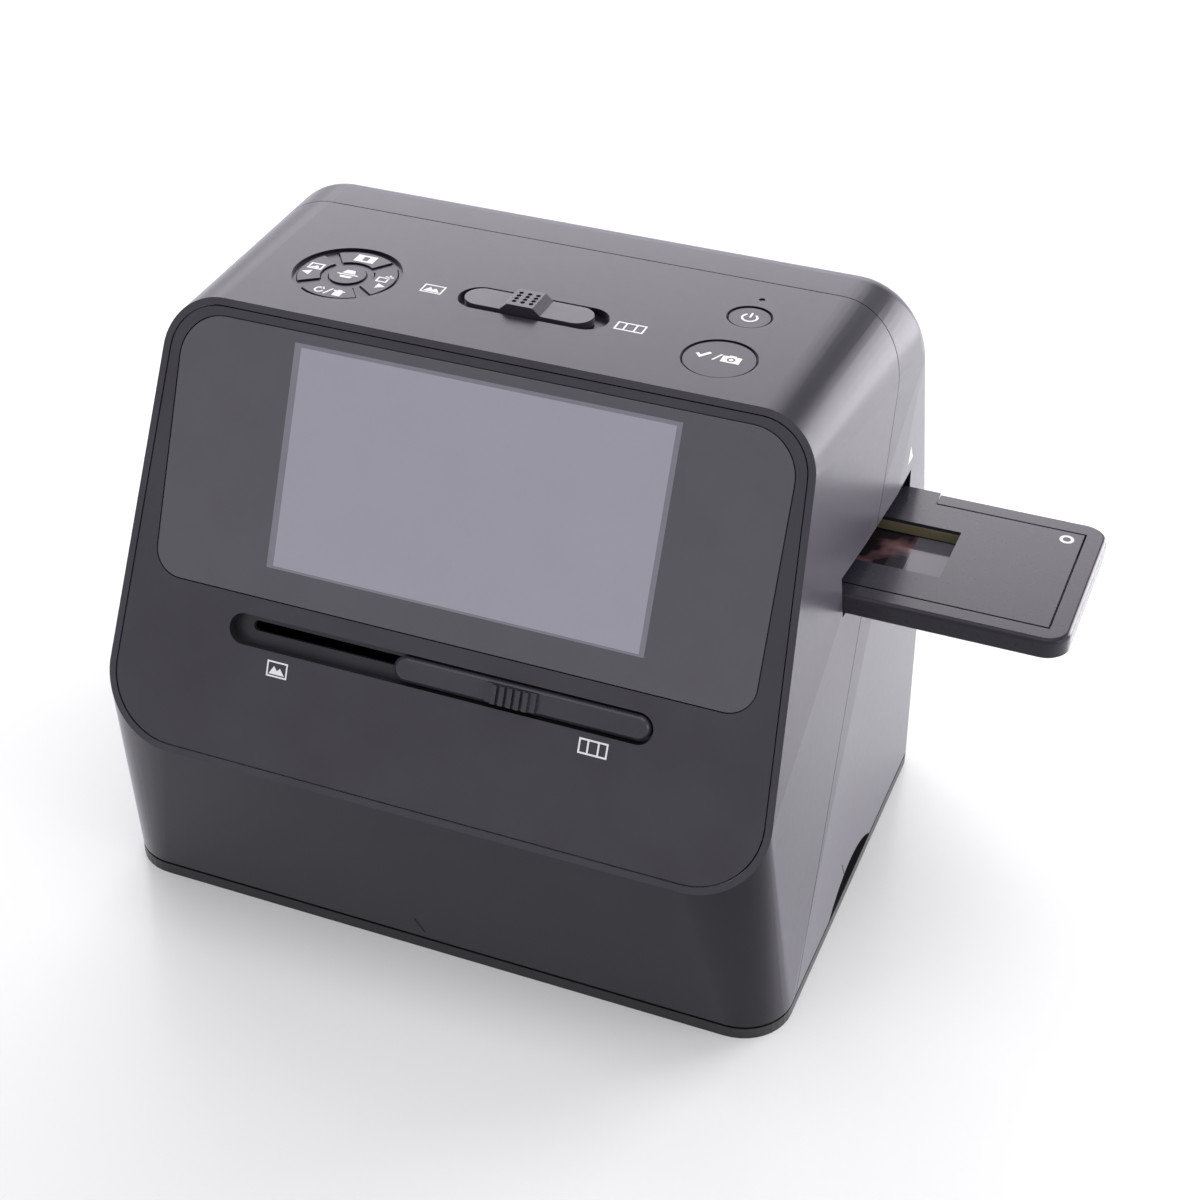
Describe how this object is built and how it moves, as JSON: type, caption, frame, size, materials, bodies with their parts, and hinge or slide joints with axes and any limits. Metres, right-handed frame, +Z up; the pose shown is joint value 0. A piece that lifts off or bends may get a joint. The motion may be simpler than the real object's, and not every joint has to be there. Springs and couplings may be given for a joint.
{
  "type": "photo and film scanner",
  "caption": "Upright table scanner with a sloping display, top controls, a backlight slider, a print window in its foot and a film holder through a side slot.",
  "frame": {"origin": "on the table, under the middle of the foot ring's front bar, in the mid-plane of the body", "axes": "+X to the right of the person in front of it, towards the film holder; +Y to the back; +Z up"},
  "size_m": [0.2655, 0.1568, 0.1802],
  "materials": {
    "shell": "satin charcoal",
    "panel": "satin dark charcoal",
    "trim": "matte black",
    "screen": "polished smoked pane",
    "display": "switched-off display",
    "steel": "ground",
    "bracket": "bent sheet",
    "board": "solder resist",
    "ribbon": "flat cable",
    "clear_glass": "clear",
    "light_box": "white",
    "diffuser": "opal",
    "film": "developed film"
  },
  "bodies": {
    "housing": {"front_shell": "shell", "rear_shell": "shell", "front_panel": "panel", "base_ring": "trim", "bottom_plate": "trim", "tower_posts": "trim", "film_tray": "trim", "film_cover": "trim", "tact_switches": "trim", "screen_glass": "screen", "display_module": "display", "case_screws": "steel", "guide_rods": "steel", "focus_pins": "steel", "usb_socket": "steel", "card_socket": "steel", "display_bracket": "bracket", "rod_brackets": "bracket", "camera_bracket": "bracket", "keypad_board": "board", "camera_board": "board", "main_board": "board", "photo_lamps": "board", "display_ribbon": "ribbon", "keypad_ribbon": "ribbon", "camera_ribbon": "ribbon", "photo_glass": "clear_glass", "power_lamp": "diffuser"},
    "backlight": {"front_slider": "trim", "slider_arm": "trim", "backlight_carriage": "light_box", "backlight_board": "board", "backlight_diffuser": "diffuser"},
    "switch": {"mode_switch": "trim", "focus_slide": "trim"},
    "focus": {"lens_carriage": "trim", "lens_barrel": "trim", "lens_elements": "clear_glass"},
    "holder": {"holder_base": "panel", "holder_lid": "panel", "holder_pins": "steel", "film_strip": "film"},
    "power": {"power_button": "panel"},
    "capture": {"capture_button": "panel"},
    "nav_up_key": {"nav_up": "panel"},
    "nav_down_key": {"nav_down": "panel"},
    "nav_left_key": {"nav_left": "panel"},
    "nav_right_key": {"nav_right": "panel"},
    "nav_mid_key": {"nav_centre": "panel"}
  },
  "joints": [
    {"name": "backlight_slide", "type": "slide", "parent": "housing", "child": "backlight", "axis": [1, 0, 0], "range_m": [-0.05, 0]},
    {"name": "mode_slide", "type": "slide", "parent": "housing", "child": "switch", "axis": [1, 0, 0], "range_m": [0, 0.004]},
    {"name": "focus_lift", "type": "slide", "parent": "housing", "child": "focus", "axis": [0, 0, 1], "range_m": [-0.0012, 0]},
    {"name": "holder_slide", "type": "slide", "parent": "housing", "child": "holder", "axis": [1, 0, 0], "range_m": [-0.104, 0.09]},
    {"name": "power_press", "type": "slide", "parent": "housing", "child": "power", "axis": [0, 0, -1], "range_m": [0, 0.0008], "stiffness_N_per_m": 1500},
    {"name": "capture_press", "type": "slide", "parent": "housing", "child": "capture", "axis": [0, 0, -1], "range_m": [0, 0.0008], "stiffness_N_per_m": 1500},
    {"name": "nav_up_press", "type": "slide", "parent": "housing", "child": "nav_up_key", "axis": [0, 0, -1], "range_m": [0, 0.0008], "stiffness_N_per_m": 1500},
    {"name": "nav_down_press", "type": "slide", "parent": "housing", "child": "nav_down_key", "axis": [0, 0, -1], "range_m": [0, 0.0008], "stiffness_N_per_m": 1500},
    {"name": "nav_left_press", "type": "slide", "parent": "housing", "child": "nav_left_key", "axis": [0, 0, -1], "range_m": [0, 0.0008], "stiffness_N_per_m": 1500},
    {"name": "nav_right_press", "type": "slide", "parent": "housing", "child": "nav_right_key", "axis": [0, 0, -1], "range_m": [0, 0.0008], "stiffness_N_per_m": 1500},
    {"name": "nav_mid_press", "type": "slide", "parent": "housing", "child": "nav_mid_key", "axis": [0, 0, -1], "range_m": [0, 0.0008], "stiffness_N_per_m": 1500}
  ],
  "couplings": [
    {"joint": "focus_lift", "follows": "mode_slide", "ratio": -0.3}
  ]
}
